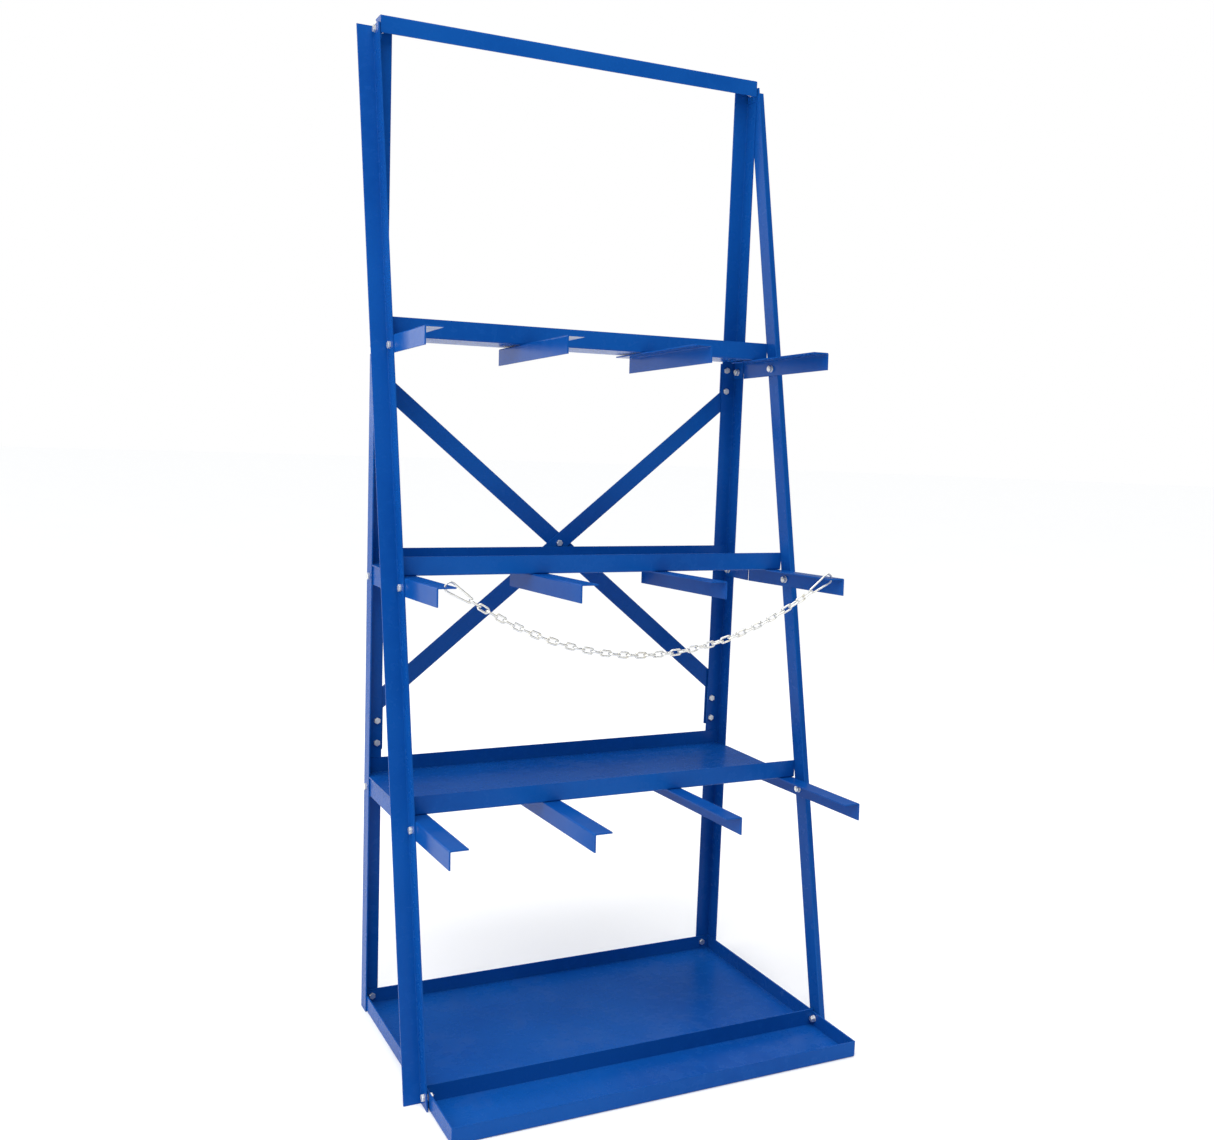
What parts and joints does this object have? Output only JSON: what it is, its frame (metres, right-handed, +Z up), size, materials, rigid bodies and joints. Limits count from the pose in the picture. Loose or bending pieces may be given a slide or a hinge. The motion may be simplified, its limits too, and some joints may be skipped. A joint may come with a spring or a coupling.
{
  "type": "vertical bar rack",
  "caption": "Upright steel bar rack with a base tray, shelves, cantilever divider arms, crossed rear braces and a retaining chain.",
  "frame": {"origin": "on the floor at the centre of the rack's footprint", "axes": "+X to the right as seen from the front, +Y to the back, +Z up"},
  "size_m": [0.99, 0.623, 2.134],
  "materials": {
    "blue_frame": "semi-gloss powder coat",
    "blue_arm": "semi-gloss powder coat",
    "blue_tray": "semi-gloss powder coat",
    "zinc_fastener": "bright zinc plate",
    "zinc_chain": "bright zinc plate"
  },
  "bodies": {
    "rack": {"arm_bolts": "zinc_fastener", "arm_nuts": "zinc_fastener", "arm_washers": "zinc_fastener", "base_bolts": "zinc_fastener", "base_nuts": "zinc_fastener", "base_tray": "blue_tray", "base_washers": "zinc_fastener", "brace_bar_front": "blue_frame", "brace_bar_rear": "blue_frame", "brace_centre_bolt": "zinc_fastener", "brace_centre_nut": "zinc_fastener", "brace_centre_washer": "zinc_fastener", "brace_end_bolts": "zinc_fastener", "brace_end_nuts": "zinc_fastener", "brace_end_washers": "zinc_fastener", "brace_spacers": "zinc_fastener", "front_ledge_tray": "blue_tray", "left_front_leg": "blue_frame", "left_rear_leg": "blue_frame", "leg_spacers": "zinc_fastener", "lower_arm_left": "blue_arm", "lower_arm_mid_left": "blue_arm", "lower_arm_mid_right": "blue_arm", "lower_arm_right": "blue_arm", "lower_shelf": "blue_tray", "middle_arm_left": "blue_arm", "middle_arm_mid_left": "blue_arm", "middle_arm_mid_right": "blue_arm", "middle_arm_right": "blue_arm", "middle_shelf": "blue_tray", "right_front_leg": "blue_frame", "right_rear_leg": "blue_frame", "shelf_rear_bolts": "zinc_fastener", "shelf_rear_nuts": "zinc_fastener", "shelf_rear_washers": "zinc_fastener", "top_bolts": "zinc_fastener", "top_nuts": "zinc_fastener", "top_rail": "blue_frame", "top_washers": "zinc_fastener", "upper_arm_left": "blue_arm", "upper_arm_mid_left": "blue_arm", "upper_arm_mid_right": "blue_arm", "upper_arm_right": "blue_arm", "upper_shelf": "blue_tray"},
    "chain": {"chain_links": "zinc_chain", "chain_loop_left": "zinc_chain", "chain_loop_right": "zinc_chain"}
  },
  "joints": [
    {"name": "chain_swing", "type": "hinge", "parent": "rack", "child": "chain", "pos_m": [0, -0.15967, 1.00895], "axis": [1, 0, 0], "range_deg": [-45, 45]}
  ]
}
